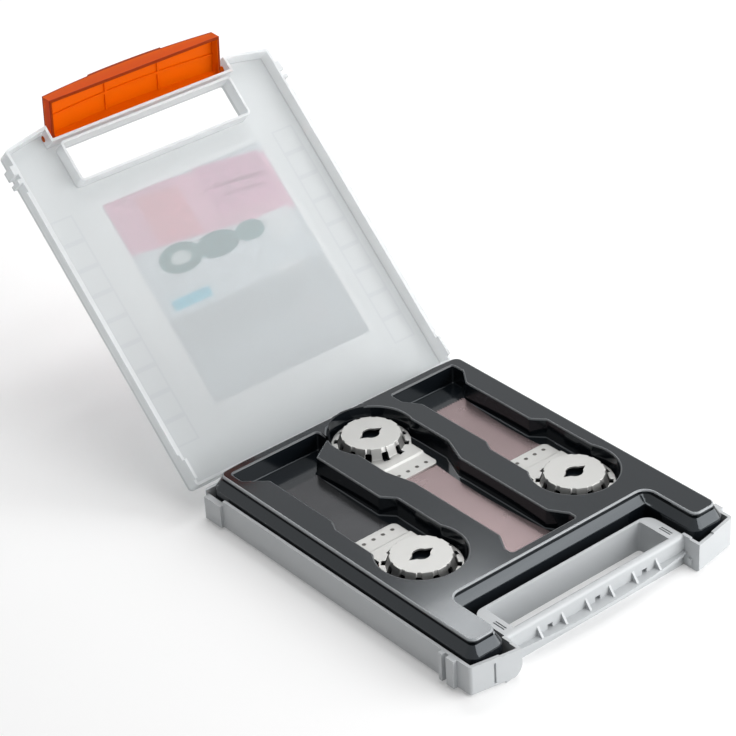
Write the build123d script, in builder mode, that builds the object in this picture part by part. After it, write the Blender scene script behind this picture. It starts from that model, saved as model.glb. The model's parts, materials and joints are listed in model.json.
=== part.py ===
from build123d import *
import math
import os

# Saw blade storage case: a grey base with a finger opening and a carrying rail, a clear lid
# that is hinged along the back, an orange snap latch on the lid, and a glossy insert tray
# with three pockets, each of which holds one oscillating saw blade.
#
# The frame: +X to the right along the front, +Y to the hinge, +Z up. The origin is the
# centre of the base's bottom face. Everything is drawn in its closed place, and the lid, the
# label and the latch are then turned open about their hinges. Lengths are in millimetres.

os.makedirs("parts", exist_ok=True)

# ---- Case envelope ----------------------------------------------------------------------
case_width = 160.0
corner_depth = 93.0  # middle of the case to its front corners
back_depth = 93.1  # middle of the case to the outside of the back wall
front_bow = 8.3  # how far the bowed front stands out beyond its corners
base_height = 15.8
lid_height = 10.1
seam_gap = 0.3  # between the rims of base and lid
base_wall = 1.6
base_floor = 1.6
base_edge = 1.3
corner_radius = 2.0

# ---- Finger opening, carrying rail and latch bay ------------------------------------------
opening_width = 94.4
opening_back = 66.5  # middle of the case to the opening's back face
opening_front = 83.6
opening_corner = 1.5
opening_back_wall = 1.6
band_corner = 6.0  # round corner of the opening's surround, inside the case
side_band_inner = 54.0  # middle to the hollow beyond the opening's side bands
rail_thickness = 4.4
rail_crest_radius = 2.1
bay_half_width = 54.0  # half of the bay that the latch closes into
ledge_top = 7.5
ledge_thickness = 1.6
ledge_setback = 8.0  # the ledge's edge behind the bowed front
gusset_count = 6
gusset_pitch = 14.4
gusset_thickness = 1.2
gusset_height = 4.6
gusset_reach = 3.4
rail_hole_width = 3.0
rail_hole_height = 2.4
rail_hole_pitch = 28.8
band_slot_count = 2
band_slot_pitch = 1.3
band_slot_width = 0.7
band_slot_length = 7.0
band_slot_middle = 79.8  # middle of the case to the slots' middle
left_block_round = 8.0  # lower inner corner of the left block beside the bay
left_round_front = 92.4  # middle of the case to where that round begins
right_block_round = 5.0  # lower outer corner of the right block
block_round_wall = 0.8
nib_front = 93.2  # nibs on the blocks, facing into the bay
nib_length = 2.0
nib_low = 2.6
nib_height = 2.8
nib_proud = 1.2

# ---- Ribs, pads and slits of the shells ---------------------------------------------------
wide_rib_front = 85.0  # middle to the front edge of the wide side rib
wide_rib_width = 5.0
thin_rib_front = 77.4
thin_rib_width = 2.2
rib_proud = 2.2
hinge_pad_front = 79.0  # middle to the front edge of the pad beside the hinge
hinge_pad_drop = 2.4
hinge_pad_proud = 1.6
front_slit_offset = 67.7
front_slit_width = 1.1
front_slit_depth = 0.9
front_slit_height = 10.5
front_step_offset = 64.8  # where the front rim steps down beside the latch bay
front_step_drop = 0.7

# ---- Lid ------------------------------------------------------------------------------
lid_wall = 1.4
lid_skin = 1.2
panel_recess = 0.4  # the label's panel below the lid's raised border
panel_half_width = 58.0
panel_front = 56.0
panel_back = 74.0
lid_front_wall = 90.2  # middle to the wall behind the latch
lid_opening_width = 101.0
lid_opening_back = 65.8
lid_opening_front = 86.0
lid_opening_corner = 1.0
lid_collar_wall = 1.3
cell_count = 9
cell_pitch = 14.0
cell_length = 12.4
cell_width = 12.0
cell_offset = 68.0
cell_depth = 0.4
rim_bead_front = 70.0
rim_bead_back = 76.0
rim_bead_height = 1.6
rim_bead_proud = 0.9

# ---- Hinge ----------------------------------------------------------------------------
lid_open_angle = 136.7
hinge_z = 14.35
hinge_gap = 0.35  # between the back wall and the barrels
barrel_radius = 2.15
hinge_pin_radius = 1.2
running_clearance = 0.05
hinge_offset = 55.0
knuckle_width = 9.0
lug_width = 3.0
hinge_end_gap = 0.3
arm_height = 4.2
heel_reach = 4.0
hinge_tab_gap = 1.6  # lets the tab's corner swing past the base's back corner

# ---- Latch ----------------------------------------------------------------------------
latch_open_angle = 40.0
latch_pivot_y = 93.5  # middle of the case to the latch's pivot
latch_pivot_z = 22.5
latch_half_width = 51.4
latch_thickness = 1.6
latch_setback = 0.2
latch_bottom = 2.2
latch_top = 24.6
latch_depth = 6.4
latch_top_back = 91.4  # middle to the inner edge of the latch's top flange
latch_lip_thickness = 1.4
latch_ribs = (-14.0, 18.0)
latch_rib_depth = 1.0
latch_rib_thickness = 1.2
latch_thumb_half_width = 22.0
latch_thumb_length = 1.0
latch_thumb_height = 2.6
latch_long_rib_z = 13.0
latch_pin_radius = 1.6
latch_pin_length = 4.0
latch_ear_radius = 2.8

# ---- Insert tray ------------------------------------------------------------------------
tray_half_width = 74.35
tray_front = 88.7
tray_back = 88.1
tray_top = 24.3
tray_skin = 1.0
tray_corner = 4.0
notch_half_width = 60.0
notch_back = 57.4
notch_corner = 6.0
lip_height = 1.4
groove_height = 1.2
groove_depth = 0.7
flare_height = 4.6
flare_width = 3.1
tray_floor_gap = 0.3
pocket_floor = 14.4
pocket_draft = 3.0
pocket_corner = 1.6
hub_pocket_radius = 21.2
hub_shell_sides = 24  # flats of the land, the boss and the pocket's underside
flare_run = 9.0  # length over which a pocket's far end widens
hub_land_radius = 16.0
hub_land_top = 16.2
hub_boss_radius = 9.0
hub_boss_height = 3.6

# ---- Pockets: half widths to the -X and +X side of the hub, lengths from the hub ------------
side_hub_y = -24.0
left_hub_x = -46.6
right_hub_x = 47.4
side_throat_minus = 16.6
side_throat_plus = 19.2
side_channel_minus = 13.6
side_channel_plus = 13.9
side_throat_end = 39.0
side_channel_start = 45.2
side_channel_end = 91.0
side_far_wall = 107.8
left_flare_minus = 23.4
left_flare_plus = 28.0
right_flare_minus = 19.4
right_flare_plus = 20.2
centre_hub_x = 0.6
centre_hub_y = 66.8
centre_throat_minus = 17.4
centre_throat_plus = 20.4
centre_channel_minus = 13.6
centre_channel_plus = 14.5
centre_throat_end = 32.2
centre_channel_start = 47.5
centre_channel_end = 106.2
centre_far_wall = 119.6
centre_flare_minus = 18.8
centre_flare_plus = 20.1
left_blade = 89.8  # from the hub's centre to the teeth
centre_blade = 112.8
right_blade = 92.2

# ---- Saw blades -------------------------------------------------------------------------
cap_top = 22.7
cap_radius = 14.5
cup_height = 5.2
cup_slope = 2.2
sheet = 1.0
cup_wall = 1.2
flange_radius = 19.2
arbor_hole_radius = 4.1
arbor_notch_reach = 6.9
arbor_notch_half = 1.9
lobe_count = 12
lobe_half_angle = 10.0
notch_half_angle = 3.5
notch_share = 0.965  # radius of the cup in the notches between its lobes
foot_sides = 24
window_width = 3.2
window_inner = 13.2
window_height = 3.9
window_outer = 18.0
tongue_half_width = 13.0
tongue_bend = 22.5
tongue_step = 1.0
tongue_length = 34.0
tongue_corner = 3.0
weld_count = 4
weld_pitch = 5.6
weld_y = 30.0
weld_radius = 1.0
weld_sides = 6
weld_depth = 0.3
strip_thickness = 0.8
strip_root = 25.0
strip_root_half = 12.2
strip_waist = 46.0
strip_waist_half = 10.4
strip_tip_half = 12.8
tooth_count = 16
tooth_height = 1.3

# ---- Label --------------------------------------------------------------------------------
label_thickness = 0.25
label_left = 44.0
label_right = 53.0
label_front = 52.4
label_back = 60.0


class Pocket:
    """A pocket of the tray and its blade. Pairs of half widths are to the -X and the +X side."""

    def __init__(self, name, hub, points, throat, channel, flare, steps, blade):
        self.name = name
        self.hub = hub
        self.points = points  # +1 towards the hinge, -1 towards the front
        self.throat = throat
        self.channel = channel
        self.flare = flare
        self.steps = steps  # from the hub: throat's end, channel's start and end, far wall
        self.blade = blade


side_steps = (side_throat_end, side_channel_start, side_channel_end, side_far_wall)
centre_steps = (centre_throat_end, centre_channel_start, centre_channel_end, centre_far_wall)
side_throat = (side_throat_minus, side_throat_plus)
side_channel = (side_channel_minus, side_channel_plus)
centre_throat = (centre_throat_minus, centre_throat_plus)
centre_channel = (centre_channel_minus, centre_channel_plus)
left_flare = (left_flare_minus, left_flare_plus)
right_flare = (right_flare_minus, right_flare_plus)
centre_flare = (centre_flare_minus, centre_flare_plus)
pockets = [
    Pocket(
        "left",
        (left_hub_x, side_hub_y),
        1,
        side_throat,
        side_channel,
        left_flare,
        side_steps,
        left_blade,
    ),
    Pocket(
        "centre",
        (centre_hub_x, centre_hub_y),
        -1,
        centre_throat,
        centre_channel,
        centre_flare,
        centre_steps,
        centre_blade,
    ),
    Pocket(
        "right",
        (right_hub_x, side_hub_y),
        1,
        side_throat,
        side_channel,
        right_flare,
        side_steps,
        right_blade,
    ),
]

# ---- Values worked out from the dimensions above ---------------------------------------------
half_width = case_width / 2
hinge_y = back_depth + hinge_gap + barrel_radius
bow_radius = (half_width**2 + front_bow**2) / (2 * front_bow)
lid_bottom = base_height + seam_gap
lid_top = lid_bottom + lid_height
lid_ceiling = lid_top - panel_recess - lid_skin
bay_depth = corner_depth + front_bow
rail_front = opening_front + rail_thickness
side_ribs = ((wide_rib_front, wide_rib_width), (thin_rib_front, thin_rib_width))
cavity_front = opening_back - opening_back_wall
flange_z = cap_top - cup_height
strip_z = flange_z - sheet - tongue_step
latch_axis = Axis((0, -latch_pivot_y, latch_pivot_z), (1, 0, 0))
hinge_axis = Axis((0, hinge_y, hinge_z), (1, 0, 0))


def bow_at(x, setback=0.0):
    """The y of the bowed front at x, or of a line that lies setback behind it."""
    centre = bow_radius - front_bow - corner_depth
    radius = bow_radius - setback
    return centre - math.sqrt(radius**2 - x**2)


def case_outline(inset=0.0):
    """Plan of the case: straight back and sides and a bowed front. Drawn in by inset it is
    the hollow inside, which has plain corners."""
    side = half_width - inset
    back = back_depth - inset
    with BuildSketch() as plan:
        with BuildLine():
            edge_y = bow_at(side, inset)
            front = ThreePointArc((-side, edge_y), (0, bow_at(0, inset)), (side, edge_y))
            Polyline(front @ 1, (side, back), (-side, back), front @ 0)
        make_face()
        if not inset:
            fillet(plan.vertices(), corner_radius)
    return plan.sketch


def bowed_strip(half, near, setback):
    """Plan of a strip across the front, from the line y = -near out to the bowed front."""
    with BuildSketch() as plan:
        with BuildLine():
            edge_y = bow_at(half, setback)
            front = ThreePointArc((-half, edge_y), (0, bow_at(0, setback)), (half, edge_y))
            Polyline(front @ 1, (half, -near), (-half, -near), front @ 0)
        make_face()
    return plan.sketch


def front_cut(half, near, mode=Mode.ADD):
    """A rectangle in the current sketch, from the line y = -near out past the bowed front."""
    with Locations((0, -near)):
        Rectangle(2 * half, bay_depth, align=(Align.CENTER, Align.MAX), mode=mode)


def span(low, high):
    """Middle and length of the stretch from low to high."""
    return (low + high) / 2, high - low


def block(x, y, z, mode=Mode.ADD):
    """A box in the current part, from three (low, high) stretches."""
    (cx, dx), (cy, dy), (cz, dz) = span(*x), span(*y), span(*z)
    with Locations((cx, cy, cz)):
        Box(dx, dy, dz, mode=mode)


# ---- Base shell -----------------------------------------------------------------------------
with BuildPart() as base_shell:
    with BuildSketch():
        add(case_outline())
    extrude(amount=base_height)
    chamfer(base_shell.faces().sort_by(Axis.Z)[0].edges(), base_edge)
    # The hollow that the tray drops into, which stops behind the finger opening
    with BuildSketch(Plane.XY.offset(base_floor)) as hollow:
        add(case_outline(base_wall))
        front_cut(side_band_inner, cavity_front, Mode.SUBTRACT)
        surround = hollow.vertices().filter_by_position(Axis.Y, -cavity_front, -cavity_front)
        fillet(surround, band_corner)
        front_cut(bay_half_width + base_wall, rail_front - base_wall, Mode.SUBTRACT)
    extrude(amount=base_height, mode=Mode.SUBTRACT)
    # The finger opening, right through
    with BuildSketch():
        with Locations((0, -(opening_back + opening_front) / 2)):
            RectangleRounded(opening_width, opening_front - opening_back, opening_corner)
    extrude(amount=base_height, mode=Mode.SUBTRACT)
    # The bay in front of the rail, with the bowed ledge left standing in it
    with BuildSketch():
        front_cut(bay_half_width, rail_front)
    extrude(amount=base_height, mode=Mode.SUBTRACT)
    with BuildSketch(Plane.XY.offset(ledge_top)):
        add(bowed_strip(bay_half_width + base_wall / 2, rail_front, ledge_setback))
    extrude(amount=-ledge_thickness)
    # The rail's crest is rounded to both sides
    rail_edges = ((bay_half_width, -rail_front, 1), (opening_width / 2, -opening_front, -1))
    for half, edge_y, turn in rail_edges:
        with BuildSketch(Plane.YZ):
            with Locations((edge_y, base_height)):
                Rectangle(2 * rail_crest_radius, 2 * rail_crest_radius)
            with Locations((edge_y + turn * rail_crest_radius, base_height - rail_crest_radius)):
                Circle(rail_crest_radius, mode=Mode.SUBTRACT)
        extrude(amount=half, both=True, mode=Mode.SUBTRACT)
    # Gussets between the rail and the ledge, with a small hole in every second bay
    for index in range(gusset_count):
        gusset_x = (index - (gusset_count - 1) / 2) * gusset_pitch
        with BuildSketch(Plane.YZ.offset(gusset_x)):
            with BuildLine():
                Polyline(
                    (-rail_front, ledge_top),
                    (-rail_front - gusset_reach, ledge_top),
                    (-rail_front, ledge_top + gusset_height),
                    close=True,
                )
            make_face()
        extrude(amount=gusset_thickness / 2, both=True)
    for hole_x in (-rail_hole_pitch, 0, rail_hole_pitch):
        block(
            (hole_x - rail_hole_width / 2, hole_x + rail_hole_width / 2),
            (-rail_front, -opening_front),
            (ledge_top, ledge_top + rail_hole_height),
            mode=Mode.SUBTRACT,
        )
    # The opening's side bands are hollow from below, with slots in their tops
    band_low = opening_width / 2 + base_wall
    band_high = side_band_inner - base_wall
    band_x = (band_low + band_high) / 2
    for side in (-1, 1):
        with BuildSketch():
            with Locations((side * band_x, -(opening_back + opening_front) / 2)):
                Rectangle(band_high - band_low, opening_front - opening_back)
        extrude(amount=base_height - base_wall, mode=Mode.SUBTRACT)
        with BuildSketch(Plane.XY.offset(base_height)):
            with Locations((side * band_x, -band_slot_middle)):
                with GridLocations(band_slot_pitch, 0, band_slot_count, 1):
                    Rectangle(band_slot_width, band_slot_length)
        extrude(amount=-base_wall, mode=Mode.SUBTRACT)
    # Ribs and hinge pads on both sides
    for side in (-1, 1):
        for rib_front, rib_width in side_ribs:
            block(
                sorted((side * (half_width - base_wall / 2), side * (half_width + rib_proud))),
                (-rib_front, -rib_front + rib_width),
                (base_edge, base_height),
            )
        block(
            sorted((side * (half_width - base_wall / 2), side * (half_width + hinge_pad_proud))),
            (hinge_pad_front, back_depth - corner_radius),
            (base_edge, base_height - hinge_pad_drop),
        )
        block(
            sorted((side * (half_width - base_wall), side * half_width)),
            (hinge_pad_front, back_depth - base_wall),
            (base_height - hinge_pad_drop, base_height),
            mode=Mode.SUBTRACT,
        )
        # The rim steps down beside the latch bay
        block(
            sorted((side * side_band_inner, side * front_step_offset)),
            (-bay_depth, -corner_depth + base_wall),
            (base_height - front_step_drop, base_height),
            mode=Mode.SUBTRACT,
        )
    # The left block's lower inner corner and the right block's lower outer one are rounded
    for corner_x, radius, near in (
        (-bay_half_width, left_block_round, left_round_front),
        (half_width, right_block_round, wide_rib_front),
    ):
        with BuildSketch(Plane.XZ.offset(near)):
            with Locations((corner_x, 0)):
                Rectangle(radius, radius, align=(Align.MAX, Align.MIN))
            with Locations((corner_x - radius, radius)):
                Circle(radius - block_round_wall, mode=Mode.SUBTRACT)
        extrude(amount=-bow_at(corner_x) - near - base_wall)
        with BuildSketch(Plane.XZ.offset(near)):
            with Locations((corner_x, 0)):
                Rectangle(radius, radius, align=(Align.MAX, Align.MIN))
            with Locations((corner_x - radius, radius)):
                Circle(radius, mode=Mode.SUBTRACT)
        extrude(amount=bay_depth - near, mode=Mode.SUBTRACT)
    # A nib on each block, low in the bay
    for side in (-1, 1):
        block(
            sorted((side * (bay_half_width - nib_proud), side * (bay_half_width + base_wall / 2))),
            (-nib_front, -nib_front + nib_length),
            (nib_low, nib_low + nib_height),
        )
    # One moulding slit in the front of the left corner block
    slit_y = bow_at(front_slit_offset)
    slit_z = (base_height - front_slit_height) / 2
    block(
        (-front_slit_offset - front_slit_width / 2, -front_slit_offset + front_slit_width / 2),
        (slit_y - front_slit_depth, slit_y + front_slit_depth),
        (slit_z, slit_z + front_slit_height),
        mode=Mode.SUBTRACT,
    )
    # Pairs of hinge lugs on the back wall
    for side in (-1, 1):
        for end in (-1, 1):
            lug_x = side * hinge_offset + end * (knuckle_width / 2 + hinge_end_gap + lug_width / 2)
            with BuildSketch(Plane.YZ.offset(lug_x)):
                with Locations((hinge_y, hinge_z)):
                    Circle(barrel_radius)
                with Locations((hinge_y, base_height)):
                    Rectangle(
                        hinge_y - back_depth + base_wall / 2,
                        base_height - hinge_z + barrel_radius,
                        align=(Align.MAX, Align.MAX),
                    )
                with Locations((hinge_y, hinge_z)):
                    Circle(hinge_pin_radius + running_clearance, mode=Mode.SUBTRACT)
            extrude(amount=lug_width / 2, both=True)


# ---- Lid shell --------------------------------------------------------------------------
def lid_outline(inset=0.0):
    """Plan of the lid: the case's outline with the latch's bay taken out of its front."""
    with BuildSketch() as plan:
        add(case_outline(inset))
        front_cut(bay_half_width + inset, lid_front_wall - inset, Mode.SUBTRACT)
    return plan.sketch


with BuildPart() as lid_closed:
    with BuildSketch(Plane.XY.offset(lid_bottom)):
        add(lid_outline())
    extrude(amount=lid_height)
    chamfer(lid_closed.faces().sort_by(Axis.Z)[-1].edges(), lid_wall / 2)
    with BuildSketch(Plane.XY.offset(lid_bottom)):
        add(lid_outline(lid_wall))
    extrude(amount=lid_ceiling - lid_bottom, mode=Mode.SUBTRACT)
    # The collar of the finger opening, down to the rim
    opening_length = lid_opening_front - lid_opening_back
    opening_middle = -(lid_opening_front + lid_opening_back) / 2
    with BuildSketch(Plane.XY.offset(lid_bottom)):
        with Locations((0, opening_middle)):
            RectangleRounded(
                lid_opening_width + 2 * lid_collar_wall,
                opening_length + 2 * lid_collar_wall,
                lid_opening_corner + lid_collar_wall,
            )
    extrude(amount=lid_ceiling - lid_bottom)
    with BuildSketch(Plane.XY.offset(lid_bottom)):
        with Locations((0, opening_middle)):
            RectangleRounded(lid_opening_width, opening_length, lid_opening_corner)
    extrude(amount=lid_height, mode=Mode.SUBTRACT)
    # The recessed panel that takes the label, and the rows of shallow cells beside it
    with BuildSketch(Plane.XY.offset(lid_top)):
        with Locations((0, (panel_back - panel_front) / 2)):
            Rectangle(2 * panel_half_width, panel_back + panel_front)
    extrude(amount=-panel_recess, mode=Mode.SUBTRACT)
    with BuildSketch(Plane.XY.offset(lid_top)):
        for side in (-1, 1):
            with Locations((side * cell_offset, (panel_back - panel_front) / 2)):
                with GridLocations(0, cell_pitch, 1, cell_count):
                    Rectangle(cell_width, cell_length)
    extrude(amount=-cell_depth, mode=Mode.SUBTRACT)
    # Side ribs that carry on the base's, a bead along the rim, and tabs that close the
    # base's lowered rim at the hinge
    for side in (-1, 1):
        block(
            sorted((side * (half_width - lid_wall / 2), side * (half_width + rim_bead_proud))),
            (-rim_bead_front, rim_bead_back),
            (lid_bottom, lid_bottom + rim_bead_height),
        )
        for rib_front, rib_width in side_ribs:
            block(
                sorted((side * (half_width - lid_wall / 2), side * (half_width + rib_proud))),
                (-rib_front, -rib_front + rib_width),
                (lid_bottom, lid_top - lid_wall),
            )
        block(
            sorted((side * (half_width - lid_wall), side * half_width)),
            (hinge_pad_front + seam_gap, back_depth - base_wall - hinge_tab_gap),
            (lid_bottom - hinge_pad_drop, lid_bottom + lid_wall),
        )
    # Hinge arms with their knuckles, the pins moulded on them and the heels that stop the lid
    stop_turn = lid_open_angle - 90
    stop_gap = hinge_y - back_depth - seam_gap
    for side in (-1, 1):
        with BuildSketch(Plane.YZ.offset(side * hinge_offset)):
            with Locations((hinge_y, hinge_z)):
                Circle(barrel_radius)
            with BuildLine():
                Polyline(
                    (back_depth - lid_wall, lid_bottom),
                    (hinge_y, lid_bottom),
                    (hinge_y + barrel_radius, hinge_z),
                    (hinge_y, lid_bottom + arm_height),
                    (back_depth - lid_wall, lid_bottom + arm_height),
                    close=True,
                )
            make_face()
        extrude(amount=knuckle_width / 2, both=True)
        with BuildSketch(Plane.YZ.offset(side * hinge_offset)):
            with Locations((hinge_y, hinge_z)):
                Circle(hinge_pin_radius)
        extrude(amount=knuckle_width / 2 + hinge_end_gap + lug_width, both=True)
        with BuildSketch(Plane.YZ.offset(side * hinge_offset)):
            with BuildLine():
                low = Vector(hinge_y, hinge_z) + Vector(0, -stop_gap).rotate(Axis.Z, stop_turn)
                run = Vector(heel_reach, 0).rotate(Axis.Z, stop_turn)
                top = (hinge_y, hinge_z + barrel_radius)
                Polyline((hinge_y, hinge_z), low, low + run, top, close=True)
            make_face()
        extrude(amount=knuckle_width / 2, both=True)
    # Bearings for the latch's pins in the two front corners
    for side in (-1, 1):
        with BuildSketch(Plane.YZ.offset(side * bay_half_width)):
            with Locations((-latch_pivot_y, latch_pivot_z)):
                Circle(latch_pin_radius + running_clearance)
        extrude(amount=side * latch_pin_length, mode=Mode.SUBTRACT)

# ---- Label in the lid's panel ---------------------------------------------------------------
with BuildPart() as label_closed:
    with BuildSketch(Plane.XY.offset(lid_top - panel_recess)):
        with Locations(((label_right - label_left) / 2, (label_back - label_front) / 2)):
            Rectangle(label_left + label_right, label_front + label_back)
    extrude(amount=label_thickness)

# ---- Latch --------------------------------------------------------------------------------
latch_inside = latch_setback + latch_thickness
latch_back = -bow_at(latch_half_width, latch_setback) - latch_depth
with BuildPart() as latch_closed:
    with BuildSketch(Plane.XY.offset(latch_bottom)):
        add(bowed_strip(latch_half_width, latch_back, latch_setback))
    extrude(amount=latch_top - latch_bottom)
    # The thumb edge, which stands out along the middle of the lip
    with BuildSketch(Plane.XY.offset(latch_bottom)):
        add(bowed_strip(latch_thumb_half_width, latch_back, latch_setback - latch_thumb_length))
    extrude(amount=latch_thumb_height)
    # The hollow behind the face. The lip left below it snaps in under the ledge
    with BuildSketch(Plane.XY.offset(latch_bottom + latch_lip_thickness)):
        add(bowed_strip(latch_half_width - latch_lip_thickness, rail_front, latch_inside))
    extrude(amount=latch_top, mode=Mode.SUBTRACT)
    # The top flange, which closes the case's top between the face and the lid
    with BuildSketch(Plane.XY.offset(latch_top)):
        add(bowed_strip(latch_half_width, latch_top_back, latch_setback))
    extrude(amount=-latch_lip_thickness)
    # Two upright ribs inside and one along
    for rib_x in latch_ribs:
        rib_y = bow_at(rib_x, latch_inside)
        block(
            (rib_x - latch_rib_thickness / 2, rib_x + latch_rib_thickness / 2),
            (rib_y - latch_thickness / 2, rib_y + latch_rib_depth),
            (latch_bottom, latch_top),
        )
    with BuildSketch(Plane.XY.offset(latch_long_rib_z)):
        add(bowed_strip(latch_half_width, latch_back, latch_inside - latch_thickness / 2))
        beyond = bowed_strip(latch_half_width, rail_front, latch_inside + latch_rib_depth)
        add(beyond, mode=Mode.SUBTRACT)
    extrude(amount=latch_rib_thickness)
    # Ears at the two ends, with the pins that turn in the lid's corners
    for side in (-1, 1):
        with BuildSketch(Plane.YZ.offset(side * (latch_half_width - latch_lip_thickness))):
            with Locations((-latch_pivot_y, latch_pivot_z)):
                Circle(latch_ear_radius)
        extrude(amount=side * latch_lip_thickness)
        with BuildSketch(Plane.YZ.offset(side * (latch_half_width - latch_lip_thickness))):
            with Locations((-latch_pivot_y, latch_pivot_z)):
                Circle(latch_pin_radius)
        extrude(amount=side * (latch_lip_thickness + latch_pin_length))


# ---- Insert tray ----------------------------------------------------------------------------
def tray_outline(grow=0.0, cut=fillet, share=1.0):
    """Plan of the tray, grown outwards: a rectangle with the finger opening's notch in front.

    The corners are cut with a fillet of their radius, or with a chamfer that is a share of it."""
    with BuildSketch() as plan:
        with Locations((0, (tray_back - tray_front) / 2)):
            Rectangle(2 * (tray_half_width + grow), tray_back + tray_front + 2 * grow)
        with Locations((0, -notch_back - grow)):
            Rectangle(
                2 * (notch_half_width - grow),
                tray_front,
                align=(Align.CENTER, Align.MAX),
                mode=Mode.SUBTRACT,
            )
        notch_y = -notch_back - grow
        notch_ends = plan.vertices().filter_by_position(Axis.Y, notch_y, notch_y)
        cut(notch_ends, share * (notch_corner - grow))
        rows = plan.vertices().group_by(Axis.Y)
        cut(rows[0] + rows[-1], share * (tray_corner + grow / 2))
    return plan.sketch


def pocket_outline(pocket, grow=0.0):
    """Plan of one pocket: round about the hub, stepped in along the strip, flared at its end.

    Grown, it is the shell below the deck, which has plain corners."""
    throat_end, neck, flare_start, end = pocket.steps
    with BuildSketch() as plan:
        with BuildLine():
            sides = []
            for side in (0, 1):
                turn = (-1, 1)[side]
                sides.append(
                    [
                        (turn * pocket.throat[side], 0),
                        (turn * pocket.throat[side], throat_end),
                        (turn * pocket.channel[side], neck),
                        (turn * pocket.channel[side], flare_start),
                        (turn * pocket.flare[side], flare_start + flare_run),
                        (turn * pocket.flare[side], end),
                    ]
                )
            Polyline(*sides[0], *reversed(sides[1]), close=True)
        make_face()
        if grow:
            RegularPolygon(hub_pocket_radius, hub_shell_sides, major_radius=False)
            offset(amount=grow, kind=Kind.INTERSECTION)
        else:
            fillet(plan.vertices().filter_by(lambda corner: corner.Y > 1), pocket_corner)
            Circle(hub_pocket_radius)
    hub_x, hub_y = pocket.hub
    if pocket.points > 0:
        return plan.sketch.moved(Location((hub_x, hub_y, 0)))
    return plan.sketch.mirror(Plane.XZ).moved(Location((hub_x, hub_y, 0)))


bevel_share = 2 - math.sqrt(2)  # of a corner's radius: a chamfer that touches the round
tray_bottom = base_floor + tray_floor_gap
flare_top = tray_top - lip_height - groove_height
flare_bottom = flare_top - flare_height
flare_angle = math.degrees(math.atan2(flare_width, flare_height))
with BuildPart() as tray_insert:
    with BuildSketch(Plane.XY.offset(tray_bottom)):
        add(tray_outline(flare_width))
    extrude(amount=flare_bottom - tray_bottom)
    with BuildSketch(Plane.XY.offset(flare_bottom)):
        add(tray_outline(flare_width))
    extrude(amount=flare_height, taper=flare_angle)
    with BuildSketch(Plane.XY.offset(flare_top)):
        add(tray_outline(-groove_depth))
    extrude(amount=groove_height)
    with BuildSketch(Plane.XY.offset(flare_top + groove_height)):
        add(tray_outline())
    extrude(amount=lip_height)
    # The hollow under the deck follows the outside
    with BuildSketch(Plane.XY.offset(tray_bottom)):
        add(tray_outline(flare_width - tray_skin, chamfer, bevel_share))
    extrude(amount=flare_bottom - tray_bottom, mode=Mode.SUBTRACT)
    with BuildSketch(Plane.XY.offset(flare_bottom)):
        add(tray_outline(flare_width - tray_skin, chamfer, bevel_share))
    extrude(amount=flare_height, taper=flare_angle, mode=Mode.SUBTRACT)
    with BuildSketch(Plane.XY.offset(flare_top)):
        add(tray_outline(-groove_depth - tray_skin, chamfer, bevel_share))
    extrude(amount=tray_top - tray_skin - flare_top, mode=Mode.SUBTRACT)
    # The pockets, drafted, with a raised land and a boss under each hub
    for pocket in pockets:
        with BuildSketch(Plane.XY.offset(tray_top)):
            add(pocket_outline(pocket, tray_skin))
        extrude(amount=pocket_floor - tray_skin - tray_top, taper=pocket_draft)
    for pocket in pockets:
        with BuildSketch(Plane.XY.offset(tray_top)):
            add(pocket_outline(pocket))
        extrude(amount=pocket_floor - tray_top, taper=pocket_draft, mode=Mode.SUBTRACT)
        with BuildSketch(Plane.XY.offset(pocket_floor - tray_skin / 2)):
            with Locations(pocket.hub):
                RegularPolygon(hub_land_radius, hub_shell_sides)
        extrude(amount=hub_land_top - pocket_floor + tray_skin / 2)
        with BuildSketch(Plane.XY.offset(hub_land_top - tray_skin / 2)):
            with Locations(pocket.hub):
                RegularPolygon(hub_boss_radius, hub_shell_sides)
        extrude(amount=hub_boss_height + tray_skin / 2)
tray_insert.part.label = "tray_insert"
export_step(tray_insert.part, "parts/tray_insert.step")


# ---- Saw blades -------------------------------------------------------------------------------
def placed(shape, pocket):
    """A blade piece drawn about its hub, pointing to +Y, moved into its pocket."""
    hub_x, hub_y = pocket.hub
    return shape.rotate(Axis.Z, 90 - 90 * pocket.points).moved(Location((hub_x, hub_y, 0)))


def lobed_outline(radius):
    """Plan of the cup at one level: flat lobes with a narrow notch between neighbours."""
    pitch = 360 / lobe_count
    points = []
    for index in range(lobe_count):
        for turn, reach in (
            (-lobe_half_angle, radius),
            (lobe_half_angle, radius),
            (pitch / 2 - notch_half_angle, notch_share * radius),
            (pitch / 2 + notch_half_angle, notch_share * radius),
        ):
            angle = math.radians(index * pitch + turn)
            points.append((reach * math.cos(angle), reach * math.sin(angle)))
    with BuildSketch() as plan:
        with BuildLine():
            Polyline(*points, close=True)
        make_face()
    return plan.sketch


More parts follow.
